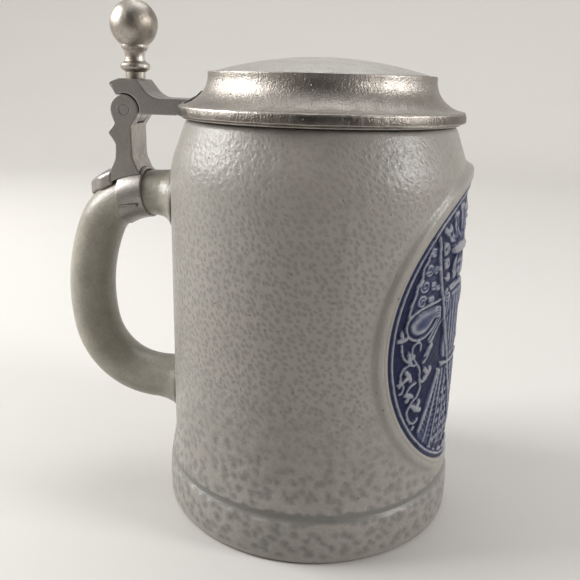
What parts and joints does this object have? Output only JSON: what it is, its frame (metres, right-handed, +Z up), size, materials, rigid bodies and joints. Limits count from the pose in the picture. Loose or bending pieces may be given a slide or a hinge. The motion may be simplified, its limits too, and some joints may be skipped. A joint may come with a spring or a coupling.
{
  "type": "lidded beer stein",
  "caption": "Half-litre stoneware stein with a dimpled wall, a round cobalt relief panel, a loop handle and a hinged pewter lid with a ball thumblift.",
  "frame": {"origin": "on the table under the middle of the foot, on the pot's axis", "axes": "+Z up along the pot's axis; the handle points to -X and the relief panel faces +X; the lid's hinge pin lies along Y"},
  "size_m": [0.1312, 0.0942, 0.1552],
  "materials": {
    "stoneware": "salt-glazed, semi-gloss, dimpled",
    "handle_glaze": "smooth salt glaze",
    "cobalt_relief": "cobalt wash over grey relief",
    "pewter": "satin cast pewter",
    "pewter_bright": "handled, brighter pewter",
    "solder": "bright soft solder",
    "pin_steel": "drawn wire"
  },
  "bodies": {
    "mug": {"mug_body": "stoneware", "handle": "handle_glaze", "medallion": "cobalt_relief", "hinge_post": "pewter", "handle_strap": "pewter", "strap_tail": "pewter", "strap_seam_solder": "solder", "hinge_pin": "pin_steel", "pin_plug_near": "pewter", "pin_plug_far": "pewter"},
    "lid": {"lid_cap": "pewter", "lid_dome": "pewter", "lid_seat_ring": "pewter", "lid_tang": "pewter", "tang_solder": "solder", "thumblift_stem": "pewter_bright", "thumblift_ball": "pewter_bright"}
  },
  "joints": [
    {"name": "lid_hinge", "type": "hinge", "parent": "mug", "child": "lid", "pos_m": [-0.06, 0, 0.12335], "axis": [0, -1, 0], "range_deg": [0, 97]}
  ]
}
